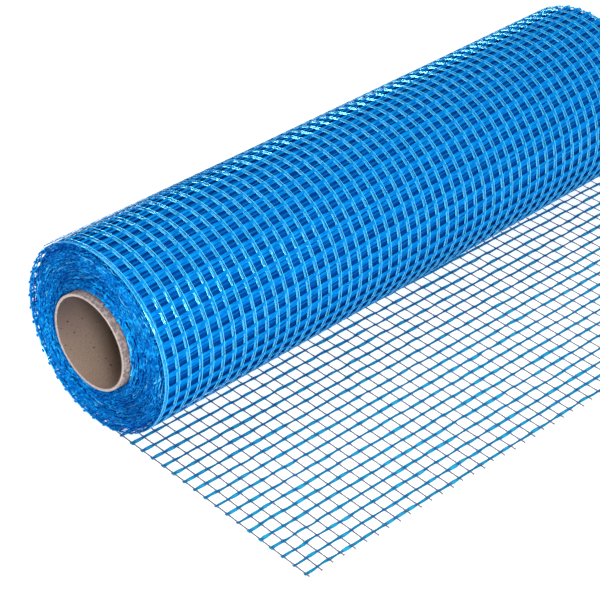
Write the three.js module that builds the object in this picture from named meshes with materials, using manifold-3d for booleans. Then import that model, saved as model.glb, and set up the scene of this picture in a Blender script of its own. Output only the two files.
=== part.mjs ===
// A roll of fiberglass mesh: a cardboard core, and one long sheet of mesh wound on it.
// The last stretch of the sheet is unrolled and lies flat in front of the roll.
// Millimetres, +Z up. X runs along the roll, the free end of the sheet lies towards -Y,
// and the origin is on the floor, in the middle of everything.

import * as THREE from 'three';
import { mergeVertices } from 'three/addons/utils/BufferGeometryUtils.js';
import Module from 'manifold-3d';

// The sheet
const cellWidth = 10;            // between neighbouring yarns that run round the roll
const cellsAcross = 50;
const crossYarnOverhang = 1.5;   // cut ends of the cross yarns past each edge yarn
const flatThickness = 1;         // over the crossings, lying flat
const unrolledLength = 205;      // from under the roll's axis to the last cross yarn
const yarnStub = 3.5;            // cut ends of the long yarns past the last cross yarn

// The open weave of the flat stretch, as a coarse grid: one opening for a block of cells
const openingsAcross = 12;
const gridBar = 5;               // width of its bars

// The winding
const woundThickness = 0.6;      // of one turn, with the yarns nested in the turn below
const turnCount = 58;
const windingDrift = 2.5;        // the first turns lie this much nearer the -X end
const turnsInRidge = 4;          // turns that stand together as one ridge on the ends
const grooveDepth = 1.2;         // between two ridges

// The cardboard core
const coreBore = 66.8;
const coreWall = 2;
const coreLength = 515;
const coreShowing = 4.8;         // past the first turns at the -X end
const coreEdge = 0.4;            // worn chamfer at the rims

const clearance = 0.3;           // between two pieces that touch
const sides = 48;                // flats round a turned piece

// What follows from them
const sheetWidth = cellWidth * cellsAcross + 2 * crossYarnOverhang;
const coreRadius = coreBore / 2 + coreWall;
const firstTurnRadius = coreRadius + clearance;
const rollRadius = firstTurnRadius + turnCount * woundThickness;
const flatLength = unrolledLength + yarnStub;
const axisY = (flatLength - rollRadius) / 2;
const cutEndY = axisY - flatLength;
const lastCrossYarnY = cutEndY + yarnStub;
const sheetStart = -coreLength / 2 + coreShowing + windingDrift;

const blue = new THREE.MeshStandardMaterial({ color: 0x0a7be0, roughness: 0.35, metalness: 0 });
const card = new THREE.MeshStandardMaterial({ color: 0x8c7468, roughness: 0.9, metalness: 0 });

const wasm = await Module();
wasm.setup();

// A closed geometry with its shared corners merged.
function closed(geometry) {
  geometry.deleteAttribute('normal');
  geometry.deleteAttribute('uv');
  return mergeVertices(geometry, 1e-4);
}

function solid(geometry) {
  const whole = closed(geometry);
  return new wasm.Manifold(new wasm.Mesh({
    numProp: 3,
    vertProperties: new Float32Array(whole.attributes.position.array),
    triVerts: new Uint32Array(whole.index.array),
  }));
}

function geometryOf(manifold) {
  const mesh = manifold.getMesh();
  const geometry = new THREE.BufferGeometry();
  geometry.setAttribute('position', new THREE.BufferAttribute(mesh.vertProperties, 3));
  geometry.setIndex(new THREE.BufferAttribute(mesh.triVerts, 1));
  return geometry;
}

// Turns a closed profile of (radius, place along X) about the roll's axis, with a corner at the bottom.
function turned(profile) {
  const geometry = new THREE.LatheGeometry([...profile, profile[0]], sides);
  geometry.rotateZ(-Math.PI / 2);
  return geometry.translate(0, axisY, rollRadius);
}

function cardboardCore() {
  const inner = coreBore / 2;
  const end = coreLength / 2;
  return turned([
    new THREE.Vector2(inner, -end + coreEdge),
    new THREE.Vector2(inner + coreEdge, -end),
    new THREE.Vector2(coreRadius - coreEdge, -end),
    new THREE.Vector2(coreRadius, -end + coreEdge),
    new THREE.Vector2(coreRadius, end - coreEdge),
    new THREE.Vector2(coreRadius - coreEdge, end),
    new THREE.Vector2(inner + coreEdge, end),
    new THREE.Vector2(inner, end - coreEdge),
  ]);
}

// How far the sheet is shifted towards -X at a radius: most at the core, nothing at the last turn.
function drift(radius) {
  return windingDrift * (rollRadius - radius) / (rollRadius - firstTurnRadius);
}

// The edges of the turns at one end: ridges of a few turns with a groove between them.
// inward is the way from the end into the roll, 1 or -1 along X.
function turnEdges(edge, inward) {
  const ridges = Math.max(1, Math.round(turnCount / turnsInRidge));
  const ridgeWidth = (rollRadius - firstTurnRadius) / ridges;
  const points = [];
  for (let i = 0; i <= ridges; i++) {
    const valley = firstTurnRadius + i * ridgeWidth;
    points.push(new THREE.Vector2(valley, edge - drift(valley) + inward * grooveDepth));
    if (i < ridges) {
      const crest = valley + ridgeWidth / 2;
      points.push(new THREE.Vector2(crest, edge - drift(crest)));
    }
  }
  return points;
}

function woundTurns() {
  const nearEdges = turnEdges(sheetStart, 1);
  const farEdges = turnEdges(sheetStart + sheetWidth, -1);
  return turned([...nearEdges, ...farEdges.reverse()]);
}

// Where the flat stretch, seen along X, runs in under the roll and meets its round side.
function underRollY() {
  const height = flatThickness + clearance;
  return axisY - Math.sqrt(rollRadius ** 2 - (rollRadius - height) ** 2);
}

// One cutter for each opening. The bars lie on both edge yarns, on the last cross yarn and
// along the roll, and evenly between them.
function openingCutters() {
  const firstBarX = sheetStart + crossYarnOverhang;
  const stepX = cellWidth * cellsAcross / openingsAcross;
  const barredLength = underRollY() - gridBar / 2 - lastCrossYarnY;
  const openingsAlong = Math.round(barredLength / stepX);
  const stepY = barredLength / openingsAlong;
  const cutters = [];
  for (let i = 0; i < openingsAcross; i++) {
    for (let j = 0; j < openingsAlong; j++) {
      const cutter = new THREE.BoxGeometry(stepX - gridBar, stepY - gridBar, 2 * flatThickness);
      cutter.translate(firstBarX + (i + 0.5) * stepX, lastCrossYarnY + (j + 0.5) * stepY, flatThickness / 2);
      cutters.push(cutter);
    }
  }
  return cutters;
}

// The free end of the same sheet lies flat on the floor.
function unrolledStretch() {
  const length = underRollY() - cutEndY;
  const plate = new THREE.BoxGeometry(sheetWidth, length, flatThickness);
  plate.translate(sheetStart + sheetWidth / 2, cutEndY + length / 2, flatThickness / 2);
  const open = openingCutters().reduce((sheet, cutter) => sheet.subtract(solid(cutter)), solid(plate));
  return geometryOf(open);
}

function piece(name, geometry, material) {
  const mesh = new THREE.Mesh(geometry, material);
  mesh.name = name;
  return mesh;
}

const roll = new THREE.Group();
roll.name = 'fiberglass_mesh_roll';
roll.add(piece('cardboard_core', closed(cardboardCore()), card));
roll.add(piece('mesh_roll', closed(woundTurns()), blue));
roll.add(piece('unrolled_mesh', unrolledStretch(), blue));

export default roll;
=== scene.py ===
"""A roll of blue fiberglass mesh on its cardboard core, its free end laid out in front."""
import math

import bpy
import numpy as np
from mathutils import Matrix, Vector


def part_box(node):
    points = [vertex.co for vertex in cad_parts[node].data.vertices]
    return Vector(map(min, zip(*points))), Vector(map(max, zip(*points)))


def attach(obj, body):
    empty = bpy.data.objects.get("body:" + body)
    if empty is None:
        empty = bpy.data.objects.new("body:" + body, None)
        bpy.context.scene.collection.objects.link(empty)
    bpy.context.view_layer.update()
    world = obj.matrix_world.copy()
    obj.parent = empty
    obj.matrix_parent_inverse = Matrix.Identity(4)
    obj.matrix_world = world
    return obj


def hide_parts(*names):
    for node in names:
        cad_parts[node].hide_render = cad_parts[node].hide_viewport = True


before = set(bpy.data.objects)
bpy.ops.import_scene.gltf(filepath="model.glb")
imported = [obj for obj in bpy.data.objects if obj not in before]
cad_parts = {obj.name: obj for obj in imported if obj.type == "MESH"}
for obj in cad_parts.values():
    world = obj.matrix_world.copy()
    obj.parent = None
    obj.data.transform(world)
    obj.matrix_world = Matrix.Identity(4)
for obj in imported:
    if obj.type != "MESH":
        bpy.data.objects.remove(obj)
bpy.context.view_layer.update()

# Places read from the frame
CORE_LOW, CORE_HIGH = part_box("cardboard_core")
ROLL_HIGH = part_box("mesh_roll")[1]
SHEET_LOW, SHEET_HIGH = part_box("unrolled_mesh")
AXIS_Y = (CORE_LOW[1] + CORE_HIGH[1]) / 2
AXIS_Z = (CORE_LOW[2] + CORE_HIGH[2]) / 2
ROLL_RADIUS = ROLL_HIGH[1] - AXIS_Y
CORE_RADIUS = (CORE_HIGH[2] - CORE_LOW[2]) / 2

# The weave, as in the part
CELL = 0.010
CELLS = 50
OVERHANG = 0.0015
YARN_STUB = 0.0035
CORE_WALL = 0.0020
DRIFT = 0.0025
RIDGES = 14
GROOVE_DEPTH = 0.0012
WOUND_THICKNESS = 0.0006
WIDTH = CELL * CELLS
EDGE_X = SHEET_HIGH[0] - OVERHANG - WIDTH
LAST_ROW_Y = SHEET_LOW[1] + YARN_STUB
UNROLLED = AXIS_Y - LAST_ROW_Y
SHEET_MIDDLE = 0.0005
ROW = 0.01072                      # between cross yarns
ROW_ANGLE = math.radians(8.81)     # the same, round the roll
FLAT_ROWS = 20
ROWS_ROUND = 41
TURN_RADIUS = ROLL_RADIUS - SHEET_MIDDLE

# The yarns
FLAT_RIBBON_WIDTH = 0.0029
RIBBON_THICKNESS = 0.00034
FLAT_STRAND_WIDTH = 0.00052
SQUEEZED_REACH = 0.0009            # a ribbon is squeezed this near a long yarn
TINTED_REACH = 0.0013              # and takes another colour this near
PRESSED_REACH = 0.0016             # a long yarn looks pressed this near a ribbon
PARTED_SHARE = 0.15                # share of a row over which strands part round a ribbon
STRAND_WIDENING = 0.3              # of a strand on a ribbon, which also flattens it
STRAND_ASIDE = 0.40                # of its width, from the yarn's middle line
STRAND_FURTHER = 0.25              # the same, added on a ribbon
CUT_STUBS = (0.0034, 0.0054)
TONE_WIDTHS = (0.45, 1.3)          # shares of a ribbon's width that look darkest and lightest
JOINED_WITHIN = 0.00002
STRAND_WANDER = 0.00012

# How the sheet lies: it flares towards its cut edge, and its cross yarns run askew
NEAR_FLARE = 0.0032
FAR_FLARE = 0.0110
NEAR_FLARE_ROWS = 13
FAR_FLARE_ROWS = 28
ADVANCE_AT_CUT = 0.0014            # of the near edge, gone by the row below
ADVANCE_ROWS = 15
SKEW_AT_CUT = 0.0090
SKEW_PER_ROW = 0.00024
ADVANCE_ON_ROLL = 0.0012
SKEW_ON_ROLL = 0.0137
BOW_ON_ROLL = 0.01075
ROWS_TO_ROLL = (14, 30)            # between these the lie on the floor becomes that on the roll

# The outermost turn stands off the roll behind its near end
LIFT = 0.0016
LIFT_REACH = 0.085
LIFT_ANGLES = (112, 132, 150, 176)   # degrees up the back from the floor: from, full, to, gone

# The edges of the hidden turns, seen on both ends
EDGE_DEPTH = 0.0004                # of the outermost below the sheet, of the first over the core
EDGE_YARN_WIDTH = 0.00085
EDGE_YARN_THICKNESS = 0.00050
KNOT_WIDTH = 0.0016
KNOT_THICKNESS = 0.0005
KNOT_LENGTH = 0.0023
KNOT_OUT = 0.0011                  # of its length, past the edge yarn
EDGE_INSET = 0.0004
RIDGE_SHARE = 0.7                  # of the groove's depth, by which the ridges stand further in
TURN_STEP = 0.0003                 # between one turn and the next
TURN_DRIFT = 0.0010                # the same, kept over several turns
DRIFT_TURNS = 7
DRIFT_SCALE = 2.6
STEADY_TURNS = 7                   # the outermost turns, which step less
WAVE = 0.00035
WAVES = 24
KINKS = 4                          # in a row
KINK_ALONG = 0.00045
KINK_IN = 0.00014
KNOT_SLIDE = 0.0005
KNOT_TILT = 0.5
# Painted glints on the ends: how strongly a few rows of edge yarn and knots are lightened, and
# what share of the rows
PAINTED_GLINT = 0.7
PAINTED_GLINT_SHARE = 0.04

rng = np.random.default_rng(11)


# Modelling helpers
def deselect():
    bpy.ops.object.select_all(action="DESELECT")


def activate(obj):
    deselect()
    obj.select_set(True)
    bpy.context.view_layer.objects.active = obj


def apply_all(obj):
    activate(obj)
    for modifier in list(obj.modifiers):
        bpy.ops.object.modifier_apply(modifier=modifier.name)


def tube_length(name, sides, across, thick, length, along, cuts):
    """An open tube of yarn from the origin along X or Y, cut across at shares of its length."""
    deselect()
    turn = (0, math.pi / 2, 0) if along == 0 else (-math.pi / 2, 0, 0)
    middle = [0, 0, 0]
    middle[along] = length / 2
    bpy.ops.mesh.primitive_cylinder_add(
        vertices=sides, radius=across / 2, depth=length, end_fill_type="NOTHING",
        rotation=turn, location=middle)
    obj = bpy.context.active_object
    obj.name = name
    bpy.ops.object.transform_apply(location=True, rotation=True, scale=True)
    bpy.ops.object.mode_set(mode="EDIT")
    for share in cuts:
        place = [0, 0, 0]
        normal = [0, 0, 0]
        place[along] = share * length
        normal[along] = 1
        bpy.ops.mesh.select_all(action="SELECT")
        bpy.ops.mesh.bisect(plane_co=place, plane_no=normal)
    bpy.ops.mesh.select_all(action="SELECT")
    bpy.ops.transform.resize(value=(1, 1, thick / across), center_override=(0, 0, 0))
    bpy.ops.object.mode_set(mode="OBJECT")
    return obj


def close_ends(obj):
    activate(obj)
    bpy.ops.object.mode_set(mode="EDIT")
    bpy.ops.mesh.select_mode(type="EDGE")
    bpy.ops.mesh.select_all(action="DESELECT")
    bpy.ops.mesh.select_non_manifold()
    bpy.ops.mesh.fill_holes(sides=8)
    bpy.ops.object.mode_set(mode="OBJECT")


def repeat(obj, count, step, joined=False):
    array = obj.modifiers.new("repeat", "ARRAY")
    array.use_relative_offset = False
    array.use_constant_offset = True
    array.constant_offset_displace = step
    array.count = count
    array.use_merge_vertices = joined
    array.merge_threshold = JOINED_WITHIN
    apply_all(obj)


def join(name, parts):
    deselect()
    for part in parts:
        part.select_set(True)
    bpy.context.view_layer.objects.active = parts[0]
    bpy.ops.object.join()
    parts[0].name = name
    parts[0].data.name = name
    return parts[0]


def smooth_shade(obj, degrees):
    activate(obj)
    bpy.ops.object.shade_smooth_by_angle(angle=math.radians(degrees))


def points_of(obj):
    flat = np.empty(len(obj.data.vertices) * 3)
    obj.data.vertices.foreach_get("co", flat)
    return flat.reshape(-1, 3)


def place_points(obj, points):
    obj.data.vertices.foreach_set("co", np.ascontiguousarray(points).ravel())
    obj.data.update()


def note(obj, **values):
    """Keeps one number for each corner point under each name, which the materials read."""
    for name, value in values.items():
        attribute = obj.data.attributes.new(name, "FLOAT", "POINT")
        spread = np.broadcast_to(value, len(obj.data.vertices))
        attribute.data.foreach_set("value", np.ascontiguousarray(spread, dtype=np.float32))


def smooth(value, low, high):
    share = np.clip((value - low) / (high - low), 0, 1)
    return share * share * (3 - 2 * share)


def between(table, line, place):
    """Reads a table of chance values, one row for each yarn, smoothly along the yarn."""
    line = np.clip(line, 0, table.shape[0] - 1).astype(int)
    place = np.clip(place, 0, table.shape[1] - 1.001)
    low = place.astype(int)
    share = smooth(place - low, 0, 1)
    return table[line, low] * (1 - share) + table[line, low + 1] * share


# The flat weave. X runs along the cross yarns, Y from the cut edge, Z up.
def cross_yarns(name, rows, width, sides, cuts, wander, widths, pinch):
    """Ribbons along X, each of uneven width and squeezed where the long yarns hold it."""
    obj = tube_length(name, sides, width, RIBBON_THICKNESS, CELL, 0, cuts)
    repeat(obj, CELLS, (CELL, 0, 0), joined=True)
    points = points_of(obj)
    points[points[:, 0] < CELL * 0.01, 0] = -OVERHANG
    points[points[:, 0] > WIDTH - CELL * 0.01, 0] = WIDTH + OVERHANG
    place_points(obj, points)
    close_ends(obj)
    repeat(obj, rows, (0, ROW, 0))
    points = points_of(obj)
    row = np.round(points[:, 1] / ROW)
    along = points[:, 0] / CELL
    chance = rng.uniform(*widths, (rows, CELLS * 2 + 4))
    sway = rng.normal(0, wander, (rows, CELLS + 2))
    wide = between(chance, row, along * 2 + 1)
    nearest = np.abs(along - np.round(along)) * CELL
    held = np.exp(-(nearest / SQUEEZED_REACH) ** 2)
    wide = wide * (1 - held) + pinch * held
    off = points[:, 1] - row * ROW
    points[:, 1] = row * ROW + off * wide + between(sway, row, along + 0.5)
    place_points(obj, points)
    tinted = np.exp(-(nearest / TINTED_REACH) ** 2)
    note(obj, tone=smooth(wide, *TONE_WIDTHS), held=tinted, way=points[:, 1])
    return obj


def long_yarns(name, first_row, rows, width, thick, sides, cuts, strands, wander):
    """Strands along Y that part round each cross yarn, one over it and one under it."""
    parts = []
    for side in strands:
        strand = tube_length(name, sides, width, thick, ROW, 1, cuts)
        points = points_of(strand)
        phase = points[:, 1] / ROW
        near = np.exp(-(np.minimum(phase, 1 - phase) / PARTED_SHARE) ** 2)
        wider = STRAND_WIDENING * near
        aside = side * width * (STRAND_ASIDE + STRAND_FURTHER * near)
        over = side * near * (RIBBON_THICKNESS + thick * (1 - STRAND_WIDENING)) / 2
        points[:, 0] = points[:, 0] * (1 + wider) + aside
        points[:, 2] = points[:, 2] * (1 - wider) + over
        place_points(strand, points)
        parts.append(strand)
    obj = join(name, parts) if len(parts) > 1 else parts[0]
    repeat(obj, rows, (0, ROW, 0), joined=True)
    close_ends(obj)
    repeat(obj, CELLS + 1, (CELL, 0, 0))
    points = points_of(obj)
    points[:, 1] += first_row * ROW
    column = np.round(points[:, 0] / CELL)
    row = points[:, 1] / ROW
    sway = rng.normal(0, wander, (CELLS + 1, rows + 3))
    points[:, 0] += between(sway, column, row - first_row + 0.5)
    stub = rng.uniform(*CUT_STUBS, CELLS + 1)
    stub[0] = YARN_STUB
    cut_end = row < 0
    points[cut_end, 1] *= (stub[column[cut_end].astype(int)]) / ROW
    place_points(obj, points)
    apart = np.abs(row - np.round(row)) * ROW
    pressed = np.where(cut_end, 0, np.exp(-(apart / PRESSED_REACH) ** 2))
    tone = rng.uniform(0, 1, CELLS + 1)[column.astype(int)]
    note(obj, tone=tone, way=points[:, 1], held=pressed)
    return obj


def lifted(across, angle):
    """How far the outermost turn stands off the roll."""
    turned = np.degrees(angle)
    start, full, falling, end = LIFT_ANGLES
    share = smooth(turned, start, full) * (1 - smooth(turned, falling, end))
    return LIFT * share * np.exp(-across / LIFT_REACH)


def laid(points, depth=0.0, rows_on=0.0, outermost=True):
    """Puts points of the sheet, counted from its near corner, on the floor and round the roll."""
    share = points[:, 0] / WIDTH
    row = points[:, 1] / ROW
    on_roll = smooth(row, *ROWS_TO_ROLL) if outermost else 1.0
    near_flare = NEAR_FLARE * (1 - share) * np.clip(1 - row / NEAR_FLARE_ROWS, 0, 1)
    far_flare = FAR_FLARE * share ** 2 * np.clip(1 - row / FAR_FLARE_ROWS, 0, 1)
    advance = ADVANCE_AT_CUT * (1 - row / ADVANCE_ROWS)
    floor_skew = advance - (SKEW_AT_CUT + SKEW_PER_ROW * row) * share
    roll_skew = ADVANCE_ON_ROLL - SKEW_ON_ROLL * share - BOW_ON_ROLL * share ** 2
    x = EDGE_X + points[:, 0] + (far_flare - near_flare) * (1 - on_roll)
    way = (row + rows_on) * ROW + floor_skew * (1 - on_roll) + roll_skew * on_roll
    angle = (way - UNROLLED) / ROW * ROW_ANGLE
    radius = TURN_RADIUS - depth - WOUND_THICKNESS * angle / (2 * math.pi) - points[:, 2]
    if outermost:
        radius = radius + lifted(points[:, 0], angle)
    y, z = AXIS_Y + radius * np.sin(angle), AXIS_Z - radius * np.cos(angle)
    round_roll = np.stack([x, y, z], axis=1)
    flat = np.stack([x, LAST_ROW_Y + way, SHEET_MIDDLE + points[:, 2]], axis=1)
    on_floor = (way < UNROLLED) & outermost
    return np.where(on_floor[:, None], flat, round_roll)


# Shader maths
class Value:
    """A number socket in a material: arithmetic on it adds Math nodes."""

    def __init__(self, look, socket):
        self.look = look
        self.socket = socket

    def _math(self, operation, *others):
        node = self.look.node_tree.nodes.new("ShaderNodeMath")
        node.operation = operation
        for slot, value in enumerate((self, *others)):
            if isinstance(value, Value):
                self.look.node_tree.links.new(value.socket, node.inputs[slot])
            else:
                node.inputs[slot].default_value = value
        return Value(self.look, node.outputs[0])

    def __add__(self, other):
        return self._math("ADD", other)

    def __sub__(self, other):
        return self._math("SUBTRACT", other)

    def __rsub__(self, other):
        return (self * -1) + other

    def __mul__(self, other):
        return self._math("MULTIPLY", other)

    def __pow__(self, other):
        return self._math("POWER", other)

    def size(self):
        return self._math("ABSOLUTE")

    def step(self, low, high):
        """0 below low and 1 above high, with a smooth step between."""
        node = self.look.node_tree.nodes.new("ShaderNodeMapRange")
        node.interpolation_type = "SMOOTHSTEP"
        self.look.node_tree.links.new(self.socket, node.inputs["Value"])
        node.inputs["From Min"].default_value = low
        node.inputs["From Max"].default_value = high
        return Value(self.look, node.outputs["Result"])


class Look:
    """One material, with its Principled shader and the ways to add nodes to it."""

    def __init__(self, name, roughness=0.5, specular=0.5, **sockets):
        self.material = bpy.data.materials.new(name)
        self.material.use_nodes = True
        self.node_tree = self.material.node_tree
        self.shader = self.node_tree.nodes["Principled BSDF"]
        self.shader.inputs["Roughness"].default_value = roughness
        self.shader.inputs["Specular IOR Level"].default_value = specular
        for socket, value in sockets.items():
            self.shader.inputs[socket.replace("_", " ")].default_value = value

    def add(self, kind, settings=None, **inputs):
        node = self.node_tree.nodes.new(kind)
        for key, value in (settings or {}).items():
            setattr(node, key, value)
        for key, value in inputs.items():
            self.feed(node.inputs[key.replace("_", " ")], value)
        return node

    def feed(self, socket, value):
        if isinstance(value, Value):
            self.node_tree.links.new(value.socket, socket)
        elif isinstance(value, bpy.types.NodeSocket):
            self.node_tree.links.new(value, socket)
        else:
            socket.default_value = value

    def value(self, socket):
        return Value(self, socket)

    def place(self):
        whole = self.add("ShaderNodeTexCoord").outputs["Object"]
        split = self.add("ShaderNodeSeparateXYZ", Vector=whole)
        return [self.value(split.outputs[axis]) for axis in range(3)]

    def noted(self, name):
        return self.value(self.add("ShaderNodeAttribute", {"attribute_name": name}).outputs["Fac"])

    def noise(self, x, y, z, detail=2.0, roughness=0.5):
        """Noise over three coordinates that are already scaled."""
        vector = self.add("ShaderNodeCombineXYZ", X=x, Y=y, Z=z).outputs["Vector"]
        node = self.add(
            "ShaderNodeTexNoise", Vector=vector, Scale=1.0, Detail=detail, Roughness=roughness)
        return self.value(node.outputs["Fac"])

    def mix(self, factor, first, second):
        node = self.add("ShaderNodeMix", {"data_type": "RGBA"})
        self.feed(node.inputs["Factor"], factor)
        for slot, colour in ((6, first), (7, second)):
            if isinstance(colour, tuple):
                node.inputs[slot].default_value = (*colour, 1)
            else:
                self.feed(node.inputs[slot], colour)
        return node.outputs[2]

    def colour(self, value):
        if isinstance(value, tuple):
            self.shader.inputs["Base Color"].default_value = (*value, 1)
        else:
            self.feed(self.shader.inputs["Base Color"], value)

    def bump(self, height, distance, strength=1.0):
        node = self.add("ShaderNodeBump", Height=height, Distance=distance, Strength=strength)
        self.feed(self.shader.inputs["Normal"], node.outputs["Normal"])


# Finishes
def fibres(look, x):
    """Fine streaks along a cross yarn, where its threads lie side by side."""
    return look.noise(x * 90, look.noted("way") * 2600, 0.0, detail=3.0)


PRESSED_BLUE = (0.001, 0.110, 0.31)


def floor_ribbon_look():
    """Cross yarn on the floor: lighter where it lies flat and wide, dark where it is twisted."""
    look = Look("ribbon_on_floor", roughness=0.5, specular=0.0)
    twisted, lying, shaded = (0.003, 0.160, 0.31), (0.035, 0.42, 0.68), (0.002, 0.125, 0.29)
    streaks = fibres(look, look.place()[0])
    flat = look.mix(look.noted("tone"), twisted, lying)
    streaked = look.mix(streaks.step(0.40, 0.65) * 0.6, flat, shaded)
    look.colour(look.mix(look.noted("held"), streaked, PRESSED_BLUE))
    look.bump(streaks, distance=0.0001, strength=0.5)
    return look.material


def floor_strand_look():
    """Long yarn on the floor: slate grey, and blue where it is pressed on a cross yarn."""
    look = Look("strand_on_floor", roughness=0.35, specular=0.2)
    slate, light_slate = (0.080, 0.095, 0.140), (0.135, 0.145, 0.185)
    between_crossings = look.mix(look.noted("tone"), slate, light_slate)
    look.colour(look.mix(look.noted("held"), between_crossings, PRESSED_BLUE))
    return look.material


def wound_ribbon_look():
    """Cross yarn on the roll: clear azure with fine streaks, lighter beside the long yarns, and
    navy as painted shade on the turns below.
    """
    look = Look("ribbon_on_roll", roughness=0.5, specular=0.0)
    dark, clear = (0.001, 0.105, 0.45), (0.002, 0.250, 0.72)
    light, painted_shade_navy = (0.003, 0.33, 0.78), (0.001, 0.050, 0.30)
    streaks = fibres(look, look.place()[0])
    azure = look.mix(streaks.step(0.36, 0.64), dark, clear)
    beside = look.mix(look.noted("held") * 0.6, azure, light)
    # Painted shade: the ribbons of the turns below are mixed towards navy by their deep note.
    look.colour(look.mix(look.noted("deep"), beside, painted_shade_navy))
    look.bump(streaks, distance=0.00025, strength=0.8)
    return look.material


GLOSSY_IOR = 1.8


def wound_strand_look():
    """Long yarn on the roll: a glossy thread whose light cyan is painted highlight and painted
    blue light from the turns round it; on the floor the same yarn is slate grey.
    """
    look = Look(
        "strand_on_roll_painted_highlight", roughness=0.20, specular=1.0,
        Specular_Tint=(0.42, 0.90, 1.0, 1.0), IOR=GLOSSY_IOR)
    # Painted highlight and painted blue light: both colours stand for the lit thread, not its own
    # colour.
    cyan, pressed = (0.110, 0.74, 0.98), (0.035, 0.56, 0.95)
    look.colour(look.mix(look.noted("held"), cyan, pressed))
    return look.material


def deep_strand_look():
    """Long yarn of the turns below: glossy azure, the long yarn on the roll darkened as painted
    shade, with more painted shade by its deep note.
    """
    look = Look(
        "strand_below_painted_shade", roughness=0.25, specular=1.0,
        Specular_Tint=(0.20, 0.75, 1.0, 1.0), IOR=GLOSSY_IOR)
    # Painted shade: the long yarn's colour darkened for lying under the turns above; the twist
    # varies it dark and light.
    dark, light, shaded = (0.001, 0.170, 0.50), (0.004, 0.36, 0.80), (0.001, 0.10, 0.40)
    twist = look.noise(look.place()[0] * 200, look.noted("way") * 900, 0.0)
    azure = look.mix(twist.step(0.35, 0.65), dark, light)
    look.colour(look.mix(look.noted("deep"), azure, shaded))
    return look.material


def edge_look():
    """The turns' edges on the ends: azure flecks along the yarns, from deep blue to light cyan,
    and a few rows of edge yarn and knots lightened to near-white cyan as painted glints.
    """
    look = Look("turn_edges", roughness=0.40, specular=0.15, Specular_Tint=(0.05, 0.7, 1.0, 1.0))
    deep, middle = (0.001, 0.060, 0.29), (0.001, 0.190, 0.63)
    cyan, palest = (0.012, 0.44, 0.88), (0.16, 0.72, 0.98)
    x, y, z = look.place()
    fleck = look.noise(look.noted("way") * 420, look.noted("turn") * 0.8, 0.0, detail=2.0)
    patch = look.noise(x * 150, y * 150, z * 150, detail=2.0)
    shade = fleck * 0.7 + patch * 0.3
    dark_to_middle = look.mix(shade.step(0.38, 0.49), deep, middle)
    light = look.mix(shade.step(0.51, 0.60), dark_to_middle, cyan)
    # Painted glints: the rows so noted are mixed towards light cyan.
    look.colour(look.mix(look.noted("pale"), light, palest))
    return look.material


def body_look():
    """What shows through the outer turns: more turns, in streaked deep blue, the yarn's blue
    darkened as painted shade of their depth.
    """
    look = Look("deep_turns_painted_shade", roughness=0.6, specular=0.0)
    x, y, z = look.place()
    streak = look.noise(x * 60, y * 900, z * 900)
    # Painted shade: both blues are darker than the yarn's own azure, for the turns deep down.
    look.colour(look.mix(streak.step(0.35, 0.65), (0.001, 0.045, 0.24), (0.001, 0.085, 0.42)))
    return look.material


def core_look():
    """Cardboard: mottled outside, lighter at the cut rims, brown inside, with painted shade darker
    at the top of the bore and painted light lighter at its bottom.
    """
    look = Look("cardboard", roughness=0.9, specular=0.1)
    x, y, z = look.place()
    grain = look.noise(x * 900, y * 1500, z * 1500, detail=4.0)
    cloud = look.noise(x * 420, y * 420, z * 420, detail=4.0)
    speck = look.noise(x * 420, y * 420, z * 420, detail=1.0)
    radius = ((y - AXIS_Y) ** 2 + (z - AXIS_Z) ** 2) ** 0.5
    outside = look.mix(cloud.step(0.40, 0.60), (0.190, 0.145, 0.140), (0.370, 0.285, 0.260))
    # Painted shade and painted light: the bore is darker at the top and lighter at the bottom,
    # where light falls in.
    low = (AXIS_Z - z).step(-CORE_RADIUS * 0.5, CORE_RADIUS * 1.1)
    inside = look.mix(low, (0.105, 0.076, 0.072), (0.300, 0.215, 0.165))
    inside = look.mix(grain.step(0.30, 0.75) * 0.35, inside, (0.080, 0.055, 0.048))
    inside = look.mix(speck.step(0.70, 0.76), inside, (0.045, 0.030, 0.030))
    in_the_wall = CORE_RADIUS - CORE_WALL * 0.6
    wall = look.mix((radius - in_the_wall).step(-0.0003, 0.0003), inside, outside)
    from_end = (x - (CORE_LOW[0] + CORE_HIGH[0]) / 2).size() - (CORE_HIGH[0] - CORE_LOW[0]) / 2
    torn = (from_end + cloud * 0.0010).step(0.0000, 0.0004)
    rim = look.mix(grain.step(0.35, 0.7), (0.34, 0.28, 0.26), (0.58, 0.50, 0.46))
    look.colour(look.mix(torn, wall, rim))
    look.bump(cloud + grain * 0.4, distance=0.0006, strength=0.6)
    return look.material


FLOOR_RIBBON = floor_ribbon_look()
FLOOR_STRAND = floor_strand_look()
WOUND_RIBBON = wound_ribbon_look()
WOUND_STRAND = wound_strand_look()
DEEP_STRAND = deep_strand_look()
EDGE_YARN = edge_look()


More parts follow.
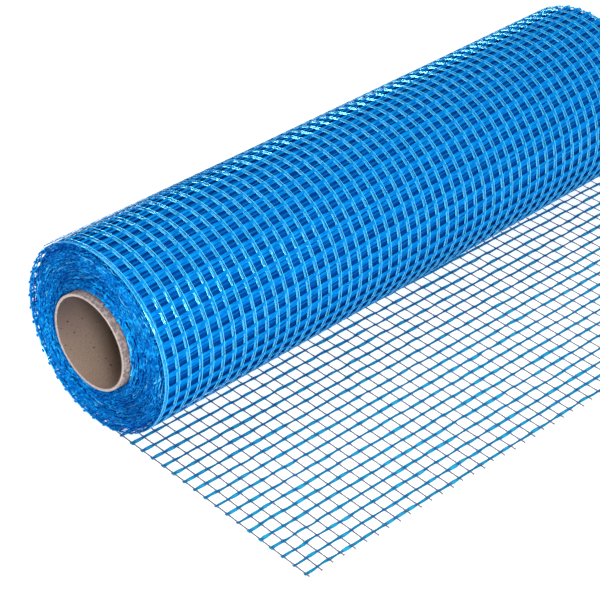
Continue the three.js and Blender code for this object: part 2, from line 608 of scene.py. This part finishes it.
# Pieces
def tube(name, inner, outer, low, high, sides, bevel):
    """A tube about the roll's axis: a cylinder, its ends inset and bridged into a bore."""
    deselect()
    bpy.ops.mesh.primitive_cylinder_add(
        vertices=sides, radius=outer, depth=high - low, rotation=(0, math.pi / 2, 0),
        location=((low + high) / 2, AXIS_Y, AXIS_Z))
    obj = bpy.context.active_object
    obj.name = name
    obj.data.name = name
    bpy.ops.object.transform_apply(location=True, rotation=True, scale=True)
    bpy.ops.object.mode_set(mode="EDIT")
    bpy.ops.mesh.select_mode(type="FACE")
    bpy.ops.object.mode_set(mode="OBJECT")
    for face in obj.data.polygons:
        face.select = abs(face.normal.x) > 0.9
    bpy.ops.object.mode_set(mode="EDIT")
    bpy.ops.mesh.inset(thickness=(outer - inner) * math.cos(math.pi / sides), use_individual=True)
    bpy.ops.mesh.bridge_edge_loops()
    bpy.ops.mesh.select_all(action="SELECT")
    bpy.ops.mesh.normals_make_consistent(inside=False)
    bpy.ops.object.mode_set(mode="OBJECT")
    if bevel:
        rim = obj.modifiers.new("rim", "BEVEL")
        rim.width = bevel
        rim.segments = 2
        rim.limit_method = "ANGLE"
        rim.angle_limit = math.radians(50)
        apply_all(obj)
    smooth_shade(obj, 40)
    return obj


def free_end():
    """The unrolled stretch, from its cut edge to the first row that climbs the roll."""
    ribbons = cross_yarns(
        "free_end_ribbons", FLAT_ROWS, FLAT_RIBBON_WIDTH, sides=6, cuts=(0.08, 0.3, 0.7, 0.92),
        wander=0.00025, widths=(0.45, 1.35), pinch=0.7)
    strands = long_yarns(
        "free_end_strands", -1, FLAT_ROWS + 1, FLAT_STRAND_WIDTH, FLAT_STRAND_WIDTH, sides=5,
        cuts=(0.12, 0.3, 0.7, 0.88), strands=(1, -1), wander=STRAND_WANDER)
    for obj, look in ((ribbons, FLOOR_RIBBON), (strands, FLOOR_STRAND)):
        place_points(obj, laid(points_of(obj)))
        obj.data.materials.append(look)
    smooth_shade(strands, 80)
    return join("free_end", [ribbons, strands])


WOUND_FLATTENING = 0.7             # of the long yarns, under the pull of the winding
PAIRING = 0.03                     # of a row, by which the second turn's ribbons lie in pairs
TURNS = (
    # depth of the ribbons and of the strands, rows further round, long yarns towards the near end,
    # width of a ribbon and of a strand, and the share of painted shade each of them takes for
    # lying deep
    (0.0000, 0.0000, -0.11, 0.0000, 0.0028, 0.00042, 0.00, 0.00),
    (0.0005, 0.0001, 0.17, -0.0025, 0.0023, 0.00034, 0.10, 0.00),
    (0.0010, 0.0004, -0.04, -0.0008, 0.0022, 0.00105, 0.40, 0.00),
    (0.0016, 0.0006, 0.50, -0.0017, 0.0014, 0.00105, 0.50, 0.10),
)


def outer_turn(number):
    """One of the turns that the open weave lets the eye into, from the outermost."""
    (ribbon_depth, strand_depth, rows_on, slide,
     ribbon, strand, ribbon_painted_shade, strand_painted_shade) = TURNS[number]
    outermost = number == 0
    name = f"turn_{number + 1}"
    rows = ROWS_ROUND + 2 if outermost else ROWS_ROUND
    sides, cuts = (6, (0.1, 0.5, 0.9)) if outermost else (4, (0.14, 0.5, 0.86))
    ribbons = cross_yarns(
        name + "_ribbons", rows, ribbon, sides, cuts,
        wander=0.00018, widths=(0.85, 1.12), pinch=0.95)
    strands = long_yarns(
        name + "_strands", 0, rows, strand, strand * WOUND_FLATTENING, sides=5 if outermost else 4,
        cuts=(0.2, 0.8), strands=(-1,), wander=STRAND_WANDER)
    for obj, look, depth, deep in (
            (ribbons, WOUND_RIBBON, ribbon_depth, ribbon_painted_shade),
            (strands, WOUND_STRAND if number < 2 else DEEP_STRAND, strand_depth, strand_painted_shade)):
        points = points_of(obj)
        if number == 1 and obj is ribbons:
            parity = 1 - 2 * (np.round(points[:, 1] / ROW) % 2)
            points[:, 1] += parity * ROW * PAIRING
        points[:, 0] += slide
        points[:, 1] += FLAT_ROWS * ROW
        place_points(obj, laid(points, depth, rows_on, outermost))
        # deep: the share of painted shade that darkens the turns below in their looks
        note(obj, deep=deep)
        obj.data.materials.append(look)
    smooth_shade(strands, 80)
    return join(name, [ribbons, strands])


def edge_turns(name, near):
    """The edge yarn of every hidden turn at one end, with its knots, wound as one spiral."""
    inner = CORE_RADIUS + EDGE_DEPTH
    outer = TURN_RADIUS - EDGE_DEPTH
    length = math.pi * (outer ** 2 - inner ** 2) / WOUND_THICKNESS
    rows = int(length / ROW)
    strand = tube_length(name, 4, EDGE_YARN_WIDTH, EDGE_YARN_THICKNESS, ROW, 1, (0.25, 0.5, 0.75))
    knot = tube_length(name + "_knots", 4, KNOT_WIDTH, KNOT_THICKNESS, KNOT_LENGTH, 0, ())
    points = points_of(knot)
    points[:, 0] -= KNOT_OUT
    place_points(knot, points)
    close_ends(knot)
    repeat(strand, rows, (0, ROW, 0), joined=True)
    repeat(knot, rows, (0, ROW, 0))
    turns = int((outer - inner) / WOUND_THICKNESS) + 2
    step_out = rng.normal(0, TURN_STEP, turns)
    drifts = rng.normal(0, TURN_DRIFT, turns + DRIFT_TURNS - 1)
    step_out += np.convolve(drifts, np.ones(DRIFT_TURNS) / DRIFT_SCALE, "valid")
    wave = rng.normal(0, WAVE, (turns, WAVES))
    kinks = rng.normal(0, 1, (2, rows * KINKS + 1))
    knot_out = rng.normal(0, KNOT_SLIDE, rows)
    knot_tilt = rng.normal(0, KNOT_TILT, rows)
    # Rows whose edge yarn and knots take painted glints
    pale = rng.choice([0, PAINTED_GLINT], rows, p=[1 - PAINTED_GLINT_SHARE, PAINTED_GLINT_SHARE])
    for obj in (strand, knot):
        points = points_of(obj)
        row = np.clip(np.round(points[:, 1] / ROW), 0, rows - 1).astype(int)
        if obj is knot:
            points[:, 1] += knot_tilt[row] * points[:, 0]
            points[:, 0] += knot_out[row]
        else:
            kink = np.clip(np.round(points[:, 1] / ROW * KINKS), 0, rows * KINKS).astype(int)
            points[:, 0] += kinks[0, kink] * KINK_ALONG
            points[:, 2] += kinks[1, kink] * KINK_IN
        squared = np.maximum(outer ** 2 - WOUND_THICKNESS * points[:, 1] / math.pi, inner ** 2)
        turned = (outer - np.sqrt(squared)) * 2 * math.pi / WOUND_THICKNESS
        radius = outer - WOUND_THICKNESS * turned / (2 * math.pi)
        count = turned / (2 * math.pi)
        ridges = RIDGES * (radius - inner) / (outer - inner)
        ridge = GROOVE_DEPTH * (0.5 - 0.5 * np.cos(2 * math.pi * ridges))
        steps = np.interp(count, np.arange(turns), step_out) + TURN_STEP
        uneven = steps * smooth(count, 0, STEADY_TURNS) - TURN_STEP
        uneven = uneven + between(wave, np.floor(count), (count % 1) * (WAVES - 2))
        along = points[:, 0] + EDGE_INSET + uneven + GROOVE_DEPTH * RIDGE_SHARE - ridge
        if not near:
            along = WIDTH - along
        drift = DRIFT * (ROLL_RADIUS - radius) / (ROLL_RADIUS - CORE_RADIUS)
        far = radius - points[:, 2]
        note(obj, way=points[:, 1], turn=np.floor(count), pale=pale[row])
        y, z = AXIS_Y + far * np.sin(turned), AXIS_Z - far * np.cos(turned)
        place_points(obj, np.stack([EDGE_X + along - drift, y, z], axis=1))
        obj.data.materials.append(EDGE_YARN)
    return join(name, [strand, knot])


TUBE_SIDES = 128
CORE_EDGE = 0.0004
core = tube(
    "core_tube", CORE_RADIUS - CORE_WALL, CORE_RADIUS, CORE_LOW[0], CORE_HIGH[0],
    sides=TUBE_SIDES, bevel=CORE_EDGE)
core.data.materials.append(core_look())
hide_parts("cardboard_core")
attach(core, "root")

tail = free_end()
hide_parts("unrolled_mesh")
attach(tail, "root")

BODY_CLEARANCE = 0.0003
BODY_DEPTH = 0.0025
BODY_INSET = 0.0012
body = tube(
    "inner_turns", CORE_RADIUS + BODY_CLEARANCE, TURN_RADIUS - BODY_DEPTH,
    EDGE_X + BODY_INSET, EDGE_X + WIDTH - BODY_INSET, sides=TUBE_SIDES, bevel=0)
body.data.materials.append(body_look())
wound = [body, edge_turns("near_edge_turns", True), edge_turns("far_edge_turns", False)]
wound += [outer_turn(number) for number in range(len(TURNS))]
for piece in wound:
    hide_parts("mesh_roll")
    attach(piece, "root")

# Floor, light and camera
deselect()
FLOOR_SIZE = 12
FLOOR_DROP = 0.0002
bpy.ops.mesh.primitive_plane_add(size=FLOOR_SIZE, location=(0, 0, -FLOOR_DROP))
floor = bpy.context.active_object
floor.name = "floor"
FLOOR_GLOW = 0.62
floor_look = Look(
    "white_floor", roughness=0.9, specular=0.0,
    Emission_Color=(1, 1, 1, 1), Emission_Strength=FLOOR_GLOW)
floor_look.colour((0.75, 0.75, 0.75))
floor.data.materials.append(floor_look.material)

world = bpy.data.worlds.new("studio")
bpy.context.scene.world = world
world.use_nodes = True
world.node_tree.nodes["Background"].inputs["Color"].default_value = (1, 1, 1, 1)
world.node_tree.nodes["Background"].inputs["Strength"].default_value = 0.5


def softbox(name, direction, distance, size, power):
    light = bpy.data.lights.new(name, "AREA")
    light.shape = "RECTANGLE"
    light.size, light.size_y = size
    light.energy = power
    obj = bpy.data.objects.new(name, light)
    bpy.context.scene.collection.objects.link(obj)
    aim = Vector((0, AXIS_Y, AXIS_Z))
    obj.location = aim + Vector(direction).normalized() * distance
    obj.rotation_euler = (aim - obj.location).to_track_quat("-Z", "Y").to_euler()
    return obj


KEY_SIDE = (-0.5, -0.70, 0.50)
softbox("key", KEY_SIDE, distance=2.2, size=(0.45, 0.35), power=34)
softbox("top", (-0.15, 0.30, 0.90), distance=2.4, size=(1.6, 1.2), power=22)
back = softbox("back", (0.50, 0.80, 0.25), distance=2.2, size=(0.5, 0.3), power=17)
back.data.color = (0.55, 0.95, 1.0)

# Seen only in glossy yarns, as the small bright glints on their crowns
glint = softbox("glint", KEY_SIDE, distance=2.2, size=(0.25, 0.25), power=90)
glint.visible_diffuse = False

# The camera, from the lie of the cells in the picture
VIEW_AZIMUTH = math.radians(43.76)
VIEW_ELEVATION = math.radians(35.81)
CAMERA_TILT = math.radians(2.84)
CAMERA_PLACE = Vector((-0.98833, -0.82266, 0.94001))
LENS = 130.1
ahead = Vector((
    math.cos(VIEW_ELEVATION) * math.cos(VIEW_AZIMUTH),
    math.cos(VIEW_ELEVATION) * math.sin(VIEW_AZIMUTH),
    -math.sin(VIEW_ELEVATION)))
lens = bpy.data.cameras.new("camera")
lens.lens = LENS
lens.sensor_width = 36
camera = bpy.data.objects.new("camera", lens)
bpy.context.scene.collection.objects.link(camera)
level = ahead.to_track_quat("-Z", "Y").to_matrix()
tilted = level @ Matrix.Rotation(CAMERA_TILT, 3, "Z")
camera.matrix_world = Matrix.Translation(CAMERA_PLACE) @ tilted.to_4x4()
bpy.context.scene.camera = camera

view = bpy.context.scene.view_settings
view.view_transform = "Standard"
view.exposure = 0
